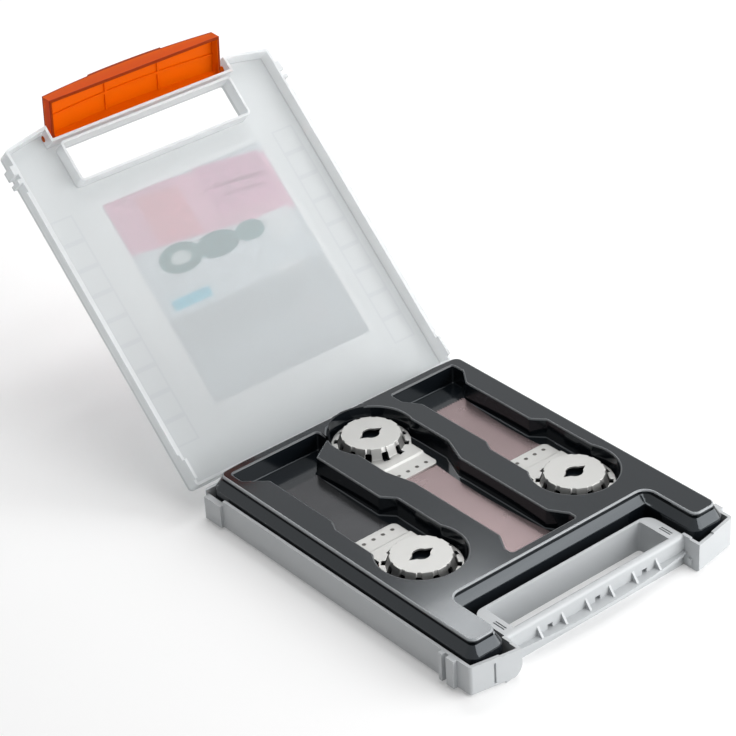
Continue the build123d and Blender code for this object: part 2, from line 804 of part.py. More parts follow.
def blade_arbor():
    """The stamped cup with its toothed foot, and the tongue that carries the strip."""
    foot_radius = cap_radius + cup_slope
    tongue_z = flange_z - tongue_step
    with BuildPart() as arbor:
        # The cup, wider at its foot, with a flat rim round it
        for level, radius in ((cap_top, cap_radius), (flange_z - sheet, foot_radius)):
            with BuildSketch(Plane.XY.offset(level)):
                add(lobed_outline(radius))
        loft(ruled=True)
        with BuildSketch(Plane.XY.offset(flange_z)):
            RegularPolygon(flange_radius, foot_sides)
        extrude(amount=-sheet)
        for level, radius in ((cap_top - sheet, cap_radius), (flange_z - sheet, foot_radius)):
            with BuildSketch(Plane.XY.offset(level)):
                RegularPolygon(radius - cup_wall, lobe_count)
        loft(ruled=True, mode=Mode.SUBTRACT)
        # Windows through the foot, below the notches between the lobes
        with BuildSketch(Plane.XY.offset(flange_z - sheet)):
            window_middle = (window_inner + window_outer) / 2
            with PolarLocations(window_middle, lobe_count, start_angle=180 / lobe_count):
                Rectangle(window_outer - window_inner, window_width)
        extrude(amount=window_height, mode=Mode.SUBTRACT)
        # The tongue: its root round the flange, then the joggle down onto the strip
        with BuildSketch(Plane.XY.offset(flange_z - sheet)):
            root_end = tongue_bend - tongue_step
            with Locations((0, root_end)):
                Rectangle(2 * tongue_half_width, flange_radius / 2, align=(Align.CENTER, Align.MAX))
            Circle((flange_radius + window_outer) / 2, mode=Mode.SUBTRACT)
        extrude(amount=sheet)
        with BuildSketch(Plane.YZ):
            with BuildLine():
                Polyline(
                    (tongue_bend - tongue_step, flange_z),
                    (tongue_bend, flange_z),
                    (tongue_bend + tongue_step, tongue_z),
                    (tongue_length, tongue_z),
                    (tongue_length, tongue_z - sheet),
                    (tongue_bend, tongue_z - sheet),
                    (tongue_bend - tongue_step, flange_z - sheet),
                    close=True,
                )
            make_face()
        extrude(amount=tongue_half_width, both=True)
        tongue_end = arbor.edges().filter_by(Axis.Z).group_by(Axis.Y)[-1]
        fillet(tongue_end, tongue_corner)
        # Spot welds on the tongue, and the hole with its two pointed notches
        with BuildSketch(Plane.XY.offset(tongue_z)):
            with Locations((0, weld_y)):
                with GridLocations(weld_pitch, 0, weld_count, 1):
                    RegularPolygon(weld_radius, weld_sides)
        extrude(amount=-weld_depth, mode=Mode.SUBTRACT)
        with BuildSketch(Plane.XY.offset(cap_top)):
            Circle(arbor_hole_radius)
            with BuildLine():
                Polyline(
                    (-arbor_notch_reach, 0),
                    (0, -2 * arbor_notch_half),
                    (arbor_notch_reach, 0),
                    (0, 2 * arbor_notch_half),
                    close=True,
                )
            make_face()
        extrude(amount=-cup_height / 2, mode=Mode.SUBTRACT)
    return arbor.part


def blade_strip(length):
    """The thin blade: waisted sides and a straight row of teeth across its end."""
    tooth_root = length - tooth_height
    root, waist, tip = strip_root_half, strip_waist_half, strip_tip_half
    tooth_pitch = 2 * tip / tooth_count
    with BuildPart() as strip:
        with BuildSketch(Plane.XY.offset(strip_z)):
            with BuildLine():
                right = ThreePointArc((root, strip_root), (waist, strip_waist), (tip, tooth_root))
                teeth = [right @ 1]
                for index in range(tooth_count):
                    edge = tip - index * tooth_pitch
                    teeth.append((edge - tooth_pitch / 2, length))
                    teeth.append((edge - tooth_pitch, tooth_root))
                Polyline(*teeth)
                left = ThreePointArc((-tip, tooth_root), (-waist, strip_waist), (-root, strip_root))
                Line(left @ 1, right @ 0)
            make_face()
        extrude(amount=-strip_thickness)
    return strip.part


arbor_shape = blade_arbor()
for pocket in pockets:
    with BuildPart() as arbor:
        add(placed(arbor_shape, pocket))
    arbor.part.label = f"blade_{pocket.name}_arbor"
    export_step(arbor.part, f"parts/blade_{pocket.name}_arbor.step")
    with BuildPart() as strip:
        add(placed(blade_strip(pocket.blade), pocket))
    strip.part.label = f"blade_{pocket.name}_strip"
    export_step(strip.part, f"parts/blade_{pocket.name}_strip.step")

# ---- The lid, its label and its latch, turned open ------------------------------------------
base_shell.part.label = "base_shell"
export_step(base_shell.part, "parts/base_shell.step")

with BuildPart() as lid_shell:
    add(lid_closed.part.rotate(hinge_axis, -lid_open_angle))
lid_shell.part.label = "lid_shell"
export_step(lid_shell.part, "parts/lid_shell.step")

with BuildPart() as lid_label:
    add(label_closed.part.rotate(hinge_axis, -lid_open_angle))
lid_label.part.label = "lid_label"
export_step(lid_label.part, "parts/lid_label.step")

with BuildPart() as latch:
    add(latch_closed.part.rotate(latch_axis, -latch_open_angle).rotate(hinge_axis, -lid_open_angle))
latch.part.label = "latch"
export_step(latch.part, "parts/latch.step")
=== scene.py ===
import json
import math

import bmesh
import bpy
from mathutils import Matrix, Vector


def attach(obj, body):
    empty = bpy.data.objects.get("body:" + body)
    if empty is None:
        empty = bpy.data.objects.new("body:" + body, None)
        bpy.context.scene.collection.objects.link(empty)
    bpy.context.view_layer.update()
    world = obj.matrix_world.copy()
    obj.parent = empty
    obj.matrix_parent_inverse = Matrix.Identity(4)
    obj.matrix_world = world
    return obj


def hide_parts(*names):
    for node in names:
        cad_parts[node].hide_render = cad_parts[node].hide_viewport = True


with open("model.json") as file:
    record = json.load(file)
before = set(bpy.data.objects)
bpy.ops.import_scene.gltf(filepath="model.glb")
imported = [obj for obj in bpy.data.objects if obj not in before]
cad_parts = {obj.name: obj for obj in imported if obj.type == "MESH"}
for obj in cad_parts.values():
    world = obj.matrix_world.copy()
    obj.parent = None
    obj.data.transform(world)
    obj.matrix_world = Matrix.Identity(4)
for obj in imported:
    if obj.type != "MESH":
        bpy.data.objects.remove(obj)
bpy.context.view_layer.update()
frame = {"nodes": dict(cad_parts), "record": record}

# The frame, in metres: +X right, +Y to the hinge, +Z up, the case standing open on z = 0.
HINGE = Vector((0.0, 0.0956, 0.01435))
LID_ANGLE = math.radians(136.7)
LATCH_PIVOT = Vector((0.0, -0.0935, 0.0225))
LATCH_ANGLE = math.radians(40.0)
LATCH_END = 0.0500  # middle of the latch to where its ends begin
LATCH_LIP = 0.0036  # top of the lip along its lower edge, on the closed latch
LATCH_BACK = -0.09129  # inner edge of the lip
BOW_CENTRE = 0.28839  # middle of the arc that the case's front is bowed to
BOW_RADIUS = 0.38949  # its radius at the latch's outer face
TRAY_SIDE = 0.0718  # beyond these the tray's deck ends at its outline
TRAY_NOTCH = -0.0555
TRAY_BACK = 0.0868
WELD_ROWS = ((-0.0466, 0.0060), (0.0006, 0.0368), (0.0474, 0.0060))  # x of hub, y of row
WELD_PITCH = 0.0056
LID_CEILING = 0.0242  # underside of the closed lid's skin
CELL_ROW = 0.0680  # middle of the lid to the middle of a row of cells
CELL_PLACE = 0.0090  # y of the middle cell, on the closed lid
CELL_PITCH = 0.0140
CELL_HALF = 0.0062
CELL_END = 0.0625  # middle cell to the ends of the row

# Where a mask begins and where it is full, in metres
LID_WALL_EDGE = (LID_CEILING, LID_CEILING - 0.0008)
CELL_SIDE_LINE = (CELL_HALF - 0.0009, CELL_HALF - 0.0002)
CELL_END_LINE = (CELL_HALF - 0.0007, CELL_HALF)
CELL_ROW_SIDE = (CELL_HALF + 0.0008, CELL_HALF + 0.0001)
CELL_ROW_END = (CELL_END + 0.0005, CELL_END)
LATCH_END_EDGE = (LATCH_END, LATCH_END + 0.0004)
LATCH_LIP_EDGE = (LATCH_LIP + 0.0003, LATCH_LIP)
LATCH_FRONT_LINE = (0.0009, 0.0005)
LATCH_BACK_LINE = (0.0007, 0.0003)
TRAY_SIDE_EDGE = (TRAY_SIDE, TRAY_SIDE + 0.0005)
TRAY_NOTCH_EDGE = (TRAY_NOTCH, TRAY_NOTCH - 0.0005)
TRAY_BACK_EDGE = (TRAY_BACK, TRAY_BACK + 0.0005)
WELD_ROW_END = (2 * WELD_PITCH, 2 * WELD_PITCH - 0.0001)
WELD_SPOT = (0.0012, 0.0008)

# ---- Colours ---------------------------------------------------------------------------


def tone(red, green, blue):
    """A screen colour, 0 to 255, as the linear colour that a shader takes."""

    def linear(value):
        value /= 255.0
        return value / 12.92 if value <= 0.04045 else ((value + 0.055) / 1.055) ** 2.4

    return (linear(red), linear(green), linear(blue), 1.0)


# ---- Material building -----------------------------------------------------------------


def new_material(name):
    material = bpy.data.materials.new(name)
    material.use_nodes = True
    tree = material.node_tree
    tree.nodes.clear()
    out = tree.nodes.new("ShaderNodeOutputMaterial")
    shader = tree.nodes.new("ShaderNodeBsdfPrincipled")
    tree.links.new(shader.outputs["BSDF"], out.inputs["Surface"])
    return material, tree, shader


def node(tree, kind, **settings):
    """A node with its attributes and its inputs' values set by name."""
    made = tree.nodes.new(kind)
    for key, value in settings.items():
        if hasattr(made, key):
            setattr(made, key, value)
        else:
            made.inputs[key.replace("_", " ")].default_value = value
    return made


def group_tree(name, inputs, outputs):
    """An empty shader node group with float or colour sockets."""
    tree = bpy.data.node_groups.new(name, "ShaderNodeTree")
    for label, kind, value in inputs:
        socket = tree.interface.new_socket(label, in_out="INPUT", socket_type=kind)
        socket.default_value = value
    for label, kind in outputs:
        tree.interface.new_socket(label, in_out="OUTPUT", socket_type=kind)
    return tree, tree.nodes.new("NodeGroupInput"), tree.nodes.new("NodeGroupOutput")


def math_node(tree, operation, *values):
    """The output of a Math node whose inputs are numbers or other nodes' outputs."""
    made = node(tree, "ShaderNodeMath", operation=operation)
    for index, value in enumerate(values):
        if isinstance(value, float):
            made.inputs[index].default_value = value
        else:
            tree.links.new(value, made.inputs[index])
    return made.outputs[0]


def distance_to(tree, value, place):
    return math_node(tree, "ABSOLUTE", math_node(tree, "SUBTRACT", value, place))


def step_mask(tree, value, low, high):
    """0 where the value is at low or beyond, 1 at high or beyond, and even between them."""
    made = tree.nodes.new("ShaderNodeMapRange")
    made.inputs["From Min"].default_value = low
    made.inputs["From Max"].default_value = high
    tree.links.new(value, made.inputs["Value"])
    return made.outputs["Result"]


def mixed(tree, share, first, second):
    """The first colour where the share is 0, the second where it is 1."""
    mix = node(tree, "ShaderNodeMix", data_type="RGBA")
    for label, colour in (("A", first), ("B", second)):
        if isinstance(colour, tuple):
            mix.inputs[label].default_value = colour
        else:
            tree.links.new(colour, mix.inputs[label])
    tree.links.new(share, mix.inputs["Factor"])
    return mix.outputs["Result"]


def object_place(tree):
    return tree.nodes.new("ShaderNodeTexCoord").outputs["Object"]


def along_axes(tree, place):
    """The X, Y and Z of a place."""
    split = tree.nodes.new("ShaderNodeSeparateXYZ")
    tree.links.new(place, split.inputs["Vector"])
    return split.outputs


def turned_back(tree, place, angle, pivot):
    """A place turned by an angle about a line through the pivot along X."""
    turn = node(tree, "ShaderNodeMapping", vector_type="POINT")
    turn.inputs["Rotation"].default_value = (angle, 0.0, 0.0)
    turn.inputs["Location"].default_value = pivot - Matrix.Rotation(angle, 3, "X") @ pivot
    tree.links.new(place, turn.inputs["Vector"])
    return turn.outputs["Vector"]


def closed_lid_place(tree):
    """Where each point of a piece on the lid, which is shown open, lies on the closed one."""
    return turned_back(tree, object_place(tree), LID_ANGLE, HINGE)


def closed_latch_place(tree):
    """Where each point of the latch, which is shown lifted, lies on the closed one."""
    return turned_back(tree, closed_lid_place(tree), LATCH_ANGLE, LATCH_PIVOT)


def moulded_surface_group():
    """Fine spark-eroded grain with slow waves in it: a roughness value and a height."""
    tree, given, result = group_tree(
        "moulded_surface",
        [
            ("Grain Scale", "NodeSocketFloat", 2500.0),
            ("Wave Scale", "NodeSocketFloat", 30.0),
            ("Roughness", "NodeSocketFloat", 0.5),
            ("Spread", "NodeSocketFloat", 0.1),
        ],
        [("Roughness", "NodeSocketFloat"), ("Height", "NodeSocketFloat")],
    )
    place = object_place(tree)
    grain = node(tree, "ShaderNodeTexNoise", Detail=2.0)
    wave = node(tree, "ShaderNodeTexNoise", Detail=3.0)
    for noise, scale in ((grain, "Grain Scale"), (wave, "Wave Scale")):
        tree.links.new(place, noise.inputs["Vector"])
        tree.links.new(given.outputs[scale], noise.inputs["Scale"])
    centred = math_node(tree, "SUBTRACT", wave.outputs["Fac"], 0.5)
    roughness = math_node(
        tree, "MULTIPLY_ADD", centred, given.outputs["Spread"], given.outputs["Roughness"]
    )
    height = math_node(tree, "ADD", grain.outputs["Fac"], wave.outputs["Fac"])
    tree.links.new(roughness, result.inputs["Roughness"])
    tree.links.new(height, result.inputs["Height"])
    return tree


MOULDED = moulded_surface_group()


def moulded(tree, shader, roughness, spread, grain_scale, wave_scale, strength, distance):
    """Gives the shader the moulded grain's roughness and bump."""
    surface = node(tree, "ShaderNodeGroup", node_tree=MOULDED)
    surface.inputs["Grain Scale"].default_value = grain_scale
    surface.inputs["Wave Scale"].default_value = wave_scale
    surface.inputs["Roughness"].default_value = roughness
    surface.inputs["Spread"].default_value = spread
    bump = node(tree, "ShaderNodeBump", Strength=strength, Distance=distance)
    tree.links.new(surface.outputs["Height"], bump.inputs["Height"])
    tree.links.new(bump.outputs["Normal"], shader.inputs["Normal"])
    tree.links.new(surface.outputs["Roughness"], shader.inputs["Roughness"])


def grey_plastic():
    material, tree, shader = new_material("grey_moulded_plastic")
    shader.inputs["Base Color"].default_value = tone(180, 183, 185)
    moulded(
        tree, shader, roughness=0.4, spread=0.12, grain_scale=2200.0,
        wave_scale=40.0, strength=0.12, distance=0.0002
    )
    return material


def clear_plastic():
    """Frosted plastic, with painted shade along the cells' ribs beside the label and painted light in
    its walls.
    """
    material, tree, shader = new_material("frosted_clear_plastic")
    closed = along_axes(tree, closed_lid_place(tree))
    off_row = distance_to(tree, math_node(tree, "ABSOLUTE", closed["X"]), CELL_ROW)
    off_middle = distance_to(tree, closed["Y"], CELL_PLACE)
    half_pitch = CELL_PITCH / 2
    along = math_node(tree, "WRAP", closed["Y"], CELL_PLACE + half_pitch, CELL_PLACE - half_pitch)
    off_cell = distance_to(tree, along, CELL_PLACE)
    # painted shade: darker lines where the cells' ribs would show their shading through the skin
    side_line = step_mask(tree, off_row, *CELL_SIDE_LINE)
    end_line = step_mask(tree, off_cell, *CELL_END_LINE)
    in_row = step_mask(tree, off_row, *CELL_ROW_SIDE)
    in_length = step_mask(tree, off_middle, *CELL_ROW_END)
    row = math_node(tree, "MULTIPLY", in_row, in_length)
    lines = math_node(tree, "MULTIPLY", math_node(tree, "MAXIMUM", side_line, end_line), row)
    # painted light: the walls get a paler grey so they read as bright as the panel despite their
    # shading
    walls_painted_light = step_mask(tree, closed["Z"], *LID_WALL_EDGE)
    skin = mixed(tree, walls_painted_light, tone(208, 211, 212), tone(236, 238, 239))
    # painted shade of the rib lines, a little darker than the skin
    shade = mixed(tree, lines, skin, tone(202, 205, 207))
    tree.links.new(shade, shader.inputs["Base Color"])
    shader.inputs["Transmission Weight"].default_value = 0.6
    shader.inputs["IOR"].default_value = 1.25
    shader.inputs["Specular IOR Level"].default_value = 0.2
    moulded(
        tree, shader, roughness=0.5, spread=0.08, grain_scale=1800.0,
        wave_scale=25.0, strength=0.1, distance=0.0002
    )
    return material


def orange_plastic():
    """Tinted clear plastic, deeper in its lip and ends and darkest along their edges."""
    material, tree, shader = new_material("orange_clear_plastic")
    closed = along_axes(tree, closed_latch_place(tree))
    across = math_node(tree, "ABSOLUTE", closed["X"])
    in_ends = step_mask(tree, across, *LATCH_END_EDGE)
    in_lip = step_mask(tree, closed["Z"], *LATCH_LIP_EDGE)
    thick = math_node(tree, "MAXIMUM", in_ends, in_lip)
    square = math_node(tree, "SUBTRACT", BOW_RADIUS**2, math_node(tree, "MULTIPLY", across, across))
    front = math_node(tree, "SUBTRACT", BOW_CENTRE, math_node(tree, "SQRT", square))
    off_front = math_node(tree, "SUBTRACT", closed["Y"], front)
    front_line = step_mask(tree, off_front, *LATCH_FRONT_LINE)
    back_line = step_mask(tree, distance_to(tree, closed["Y"], LATCH_BACK), *LATCH_BACK_LINE)
    lines = math_node(tree, "MULTIPLY", math_node(tree, "MAXIMUM", front_line, back_line), thick)
    deeper = mixed(tree, thick, tone(233, 104, 0), tone(214, 90, 0))
    shade = mixed(tree, lines, deeper, tone(150, 58, 8))
    tree.links.new(shade, shader.inputs["Base Color"])
    shader.inputs["Transmission Weight"].default_value = 0.5
    shader.inputs["IOR"].default_value = 1.2
    shader.inputs["Specular IOR Level"].default_value = 0.05
    moulded(
        tree, shader, roughness=0.35, spread=0.06, grain_scale=1200.0,
        wave_scale=30.0, strength=0.05, distance=0.0002
    )
    return material


def black_tray():
    material, tree, shader = new_material("black_thermoformed_sheet")
    shader.inputs["Base Color"].default_value = tone(16, 20, 24)
    shader.inputs["Specular IOR Level"].default_value = 0.38
    shader.inputs["Specular Tint"].default_value = (0.86, 0.94, 1.0, 1.0)
    shader.inputs["Coat Weight"].default_value = 0.12
    shader.inputs["Coat Roughness"].default_value = 0.04
    moulded(
        tree, shader, roughness=0.12, spread=0.06, grain_scale=900.0,
        wave_scale=35.0, strength=0.03, distance=0.0002
    )
    return material


def tray_edge():
    """Painted highlight on the deck's rounded edges, palest along the tray's own outline."""
    material, tree, shader = new_material("black_sheet_painted_edge_highlight")
    place = along_axes(tree, object_place(tree))
    sides = step_mask(tree, math_node(tree, "ABSOLUTE", place["X"]), *TRAY_SIDE_EDGE)
    front = step_mask(tree, place["Y"], *TRAY_NOTCH_EDGE)
    back = step_mask(tree, place["Y"], *TRAY_BACK_EDGE)
    outline = math_node(tree, "MAXIMUM", math_node(tree, "MAXIMUM", sides, front), back)
    # painted highlight: grey on the rounded top edges, paler along the outline, stands in for light
    # caught by the rounding
    shade = mixed(tree, outline, tone(62, 66, 69), tone(140, 144, 147))
    tree.links.new(shade, shader.inputs["Base Color"])
    shader.inputs["Specular IOR Level"].default_value = 0.5
    shader.inputs["Coat Weight"].default_value = 0.2
    shader.inputs["Coat Roughness"].default_value = 0.1
    moulded(
        tree, shader, roughness=0.3, spread=0.1, grain_scale=900.0,
        wave_scale=60.0, strength=0.03, distance=0.0002
    )
    return material


def steel(name, colour, roughness, stripe_scale, metallic=1.0):
    material, tree, shader = new_material(name)
    shader.inputs["Metallic"].default_value = metallic
    shader.inputs["Base Color"].default_value = colour
    moulded(
        tree, shader, roughness=roughness, spread=0.18, grain_scale=1500.0,
        wave_scale=stripe_scale, strength=0.03, distance=0.0001
    )
    return material


def weld_spot(tree, place, hub_x, row_y):
    """1 inside the four spot welds of one blade's tongue."""
    off_hub = math_node(tree, "SUBTRACT", place["X"], hub_x)
    in_row = step_mask(tree, math_node(tree, "ABSOLUTE", off_hub), *WELD_ROW_END)
    shifted = math_node(tree, "ADD", off_hub, 10 * WELD_PITCH)
    across = math_node(tree, "PINGPONG", shifted, WELD_PITCH)
    off_x = math_node(tree, "SUBTRACT", across, WELD_PITCH / 2)
    off_y = math_node(tree, "SUBTRACT", place["Y"], row_y)
    square_x = math_node(tree, "MULTIPLY", off_x, off_x)
    square_y = math_node(tree, "MULTIPLY", off_y, off_y)
    off_spot = math_node(tree, "SQRT", math_node(tree, "ADD", square_x, square_y))
    return math_node(tree, "MULTIPLY", step_mask(tree, off_spot, *WELD_SPOT), in_row)


def hub_steel():
    """Bright stamped steel, burnt dark in the row of spot welds on each tongue."""
    material, tree, shader = new_material("stamped_hub_steel")
    place = along_axes(tree, object_place(tree))
    first, second, third = (weld_spot(tree, place, *row) for row in WELD_ROWS)
    spots = math_node(tree, "MAXIMUM", math_node(tree, "MAXIMUM", first, second), third)
    shade = mixed(tree, spots, tone(172, 172, 170), tone(84, 82, 80))
    tree.links.new(shade, shader.inputs["Base Color"])
    shader.inputs["Metallic"].default_value = 0.85
    moulded(
        tree, shader, roughness=0.38, spread=0.18, grain_scale=1500.0,
        wave_scale=90.0, strength=0.03, distance=0.0001
    )
    return material


# ---- The label's print -------------------------------------------------------------------

PRINT_SOCKETS = [
    ("X", "NodeSocketFloat", 0.0),
    ("Y", "NodeSocketFloat", 0.0),
    ("Middle X", "NodeSocketFloat", 0.0),
    ("Middle Y", "NodeSocketFloat", 0.0),
    ("Half X", "NodeSocketFloat", 0.01),
    ("Half Y", "NodeSocketFloat", 0.01),
    ("Slant", "NodeSocketFloat", 0.0),
]
PRINT_EDGE = 0.0012  # width over which a bar's ink fades at its edge
DISC_EDGE = 0.12  # the same for a disc, as a share of its squared size
PRINT_GROUND = (228, 233, 237)


def bar_group():
    """1 inside a slanted bar of the print, fading to 0 at its edge."""
    tree, given, result = group_tree("print_bar", PRINT_SOCKETS, [("Mask", "NodeSocketFloat")])
    across = math_node(tree, "SUBTRACT", given.outputs["X"], given.outputs["Middle X"])
    along = math_node(tree, "SUBTRACT", given.outputs["Y"], given.outputs["Middle Y"])
    lean = math_node(tree, "MULTIPLY", across, given.outputs["Slant"])
    off_x = math_node(tree, "ABSOLUTE", across)
    off_y = distance_to(tree, along, lean)
    room_x = math_node(tree, "SUBTRACT", given.outputs["Half X"], off_x)
    room_y = math_node(tree, "SUBTRACT", given.outputs["Half Y"], off_y)
    room = math_node(tree, "MINIMUM", room_x, room_y)
    tree.links.new(step_mask(tree, room, 0.0, PRINT_EDGE), result.inputs["Mask"])
    return tree


def disc_group():
    """1 inside an oval of the print, fading to 0 at its edge."""
    tree, given, result = group_tree("print_disc", PRINT_SOCKETS, [("Mask", "NodeSocketFloat")])
    squares = []
    for axis in ("X", "Y"):
        off = math_node(tree, "SUBTRACT", given.outputs[axis], given.outputs["Middle " + axis])
        share = math_node(tree, "DIVIDE", off, given.outputs["Half " + axis])
        squares.append(math_node(tree, "MULTIPLY", share, share))
    room = math_node(tree, "SUBTRACT", 1.0, math_node(tree, "ADD", *squares))
    tree.links.new(step_mask(tree, room, 0.0, DISC_EDGE), result.inputs["Mask"])
    return tree


BAR = bar_group()
DISC = disc_group()

# The print's inks, in millimetres on the closed lid: form, middle, half sizes, slant, colour
PRINT = (
    (BAR, (4.5, -35.0), (48.5, 17.0), 0.1, tone(238, 182, 204)),
    (BAR, (30.0, -37.0), (20.0, 14.0), 0.1, tone(230, 166, 196)),
    (BAR, (-14.0, -35.0), (13.0, 14.0), 0.1, tone(238, 162, 178)),
    (BAR, (32.0, -38.0), (16.0, 1.6), 0.1, tone(184, 110, 146)),
    (BAR, (32.0, -32.5), (12.0, 1.2), 0.1, tone(184, 110, 146)),
    (DISC, (-20.0, -13.0), (13.0, 8.0), 0.0, tone(84, 140, 140)),
    (DISC, (2.0, -12.0), (13.0, 7.0), 0.0, tone(78, 134, 138)),
    (DISC, (22.0, -12.0), (9.0, 5.5), 0.0, tone(96, 148, 150)),
    (DISC, (-20.0, -13.0), (6.0, 3.6), 0.0, tone(214, 222, 222)),
    (BAR, (40.0, -9.0), (9.0, 8.0), 0.0, tone(238, 240, 242)),
    (BAR, (-26.0, 8.0), (12.0, 3.4), 0.0, tone(116, 214, 236)),
    (BAR, (-28.0, 17.0), (9.0, 1.0), 0.0, tone(236, 238, 240)),
    (BAR, (-26.0, 21.5), (11.0, 1.0), 0.0, tone(236, 238, 240)),
    (BAR, (-29.0, 26.0), (8.0, 1.0), 0.0, tone(236, 238, 240)),
    (BAR, (32.0, 14.0), (9.0, 4.0), 0.0, tone(240, 242, 244)),
    (BAR, (32.0, 21.0), (9.0, 1.6), 0.0, tone(224, 228, 232)),
    (DISC, (30.0, 38.0), (8.0, 8.0), 0.0, tone(232, 234, 238)),
)


def label_print():
    """A printed film: bands, discs and bars of colour on grey, with no lettering."""
    material, tree, shader = new_material("printed_label_film")
    closed = along_axes(tree, closed_lid_place(tree))
    colour = tone(*PRINT_GROUND)
    for form, (middle_x, middle_y), (half_x, half_y), slant, ink in PRINT:
        mask = node(tree, "ShaderNodeGroup", node_tree=form)
        for label, value in (
            ("Middle X", middle_x / 1000),
            ("Middle Y", middle_y / 1000),
            ("Half X", half_x / 1000),
            ("Half Y", half_y / 1000),
            ("Slant", slant),
        ):
            mask.inputs[label].default_value = value
        for axis in ("X", "Y"):
            tree.links.new(closed[axis], mask.inputs[axis])
        colour = mixed(tree, mask.outputs["Mask"], colour, ink)
    tree.links.new(colour, shader.inputs["Base Color"])
    moulded(
        tree, shader, roughness=0.4, spread=0.1, grain_scale=1500.0,
        wave_scale=60.0, strength=0.04, distance=0.0001
    )
    return material


# ---- What each slot of the frame looks like -----------------------------------------------

MATERIALS = {
    "grey_plastic": grey_plastic(),
    "clear_plastic": clear_plastic(),
    "orange_plastic": orange_plastic(),
    "black_tray": black_tray(),
    "tray_edge": tray_edge(),
    "hub_steel": hub_steel(),
    # painted shade: this strip's steel is toned dark to stand in for the pocket wall's shadow over it
    "strip_steel": steel("strip_steel_painted_shade", tone(72, 73, 75), 0.22, 60.0, 0.9),
    "strip_bronze": steel("bronze_strip_steel", tone(134, 118, 119), 0.24, 60.0, 0.8),
    "label": label_print(),
}
SLOTS = {entry["node"]: entry["material_slot"] for entry in frame["record"]["subparts"]}
for name, piece in frame["nodes"].items():
    for slot in piece.material_slots:
        slot.material = MATERIALS[SLOTS[name]]
    if not piece.material_slots:
        piece.data.materials.append(MATERIALS[SLOTS[name]])

# ---- Pieces with rounded edges ------------------------------------------------------------

MERGE_DISTANCE = 0.000002
FLAT_ANGLE = math.radians(1.0)  # faces that turn by less are one flat face
SHARP_ANGLE = math.radians(28.0)  # edges that turn by more are rounded
SMOOTH_ANGLE = math.radians(35.0)  # edges that turn by more stay hard in the shading
LOOKS_DOWN = -0.3  # a face whose normal's z is lower looks down
TOP_DEPTH = 0.0001  # edges this far below the highest point still count as top edges
BOX_MARGIN = 1e-6  # points this near a kept box's sides aren't in it

# Ranges of x, y and z in which edges stay as they are. The centre pocket comes within a hair
# of the tray's back edge, and the groove below the lip is narrower than the rounding.
ALL = (-1.0, 1.0)
BEHIND_CENTRE_POCKET = ((-0.0095, 0.0107), (0.0835, 0.0950), ALL)
BELOW_TRAY_LIP = (ALL, ALL, (0.0215, 0.0231))
BASE_FRONT = (ALL, (-1.0, -0.0830), ALL)
BASE_HINGES = (ALL, (0.0890, 1.0), ALL)


def softened(name, body, width, segments, lowest=0.0, kept=(), edge_material=None):
    """A CAD node's mesh with its triangles joined to flat faces and its upper edges rounded.

    Edges that reach into a kept box stay as they are, and a top edge that runs right through
    one is first parted there. The edges at the top take the edge material, if there is one."""
    shape = bmesh.new()
    shape.from_mesh(frame["nodes"][name].data)
    bmesh.ops.remove_doubles(shape, verts=shape.verts, dist=MERGE_DISTANCE)
    bmesh.ops.dissolve_limit(
        shape, angle_limit=FLAT_ANGLE, verts=shape.verts, edges=shape.edges, delimit={"MATERIAL"}
    )
    top = max(vert.co.z for vert in shape.verts)
    for box in kept:
        part_top_edges(shape, top, box)
    edges = [edge for edge in shape.edges if is_upper_edge(edge, lowest, kept)]
    rounded = bmesh.ops.bevel(
        shape,
        geom=edges,
        offset=width,
        offset_type="OFFSET",
        segments=segments,
        profile=0.5,
        affect="EDGES",
        clamp_overlap=False,
        material=-1,
    )
    for face in rounded["faces"]:
        at_top = face.calc_center_median().z > top - width
        face.material_index = 1 if edge_material and at_top else 0
    for face in shape.faces:
        face.smooth = True
    for edge in shape.edges:
        edge.smooth = len(edge.link_faces) == 2 and edge.calc_face_angle(0.0) < SMOOTH_ANGLE
    mesh = bpy.data.meshes.new(name + "_rounded")
    shape.to_mesh(mesh)
    shape.free()
    piece = bpy.data.objects.new(name + "_rounded", mesh)
    bpy.context.scene.collection.objects.link(piece)
    mesh.materials.append(MATERIALS[SLOTS[name]])
    if edge_material:
        mesh.materials.append(MATERIALS[edge_material])
    normals = piece.modifiers.new("face_normals", "WEIGHTED_NORMAL")
    normals.keep_sharp = True
    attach(piece, body)
    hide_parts(name)


def part_top_edges(shape, top, box):
    """Parts each top edge along x that passes through the box, at its sides and within it."""
    (low_x, high_x), (low_y, high_y), _ = box
    for edge in list(shape.edges):
        start, end = sorted(edge.verts, key=lambda vert: vert.co.x)
        if not low_y < start.co.y < high_y or not low_y < end.co.y < high_y:
            continue
        if start.co.x > low_x or end.co.x < high_x:
            continue
        if min(start.co.z, end.co.z) < top - TOP_DEPTH:
            continue
        for cut_x in (low_x, (low_x + high_x) / 2, high_x):
            share = (cut_x - start.co.x) / (end.co.x - start.co.x)
            edge, start = bmesh.utils.edge_split(edge, start, share)
            edge = next(each for each in start.link_edges if end in each.verts)


def is_inside(point, box):
    return all(
        low + BOX_MARGIN < value < high - BOX_MARGIN for value, (low, high) in zip(point, box)
    )


def is_upper_edge(edge, lowest, kept):
    """Whether an edge is sharp, above the lowest level and on no face that looks down."""
    if any(is_inside(vert.co, box) for box in kept for vert in edge.verts):
        return False
    if len(edge.link_faces) != 2 or edge.calc_face_angle(0.0) < SHARP_ANGLE:
        return False
    if min(vert.co.z for vert in edge.verts) < lowest:
        return False
    return all(face.normal.z > LOOKS_DOWN for face in edge.link_faces)


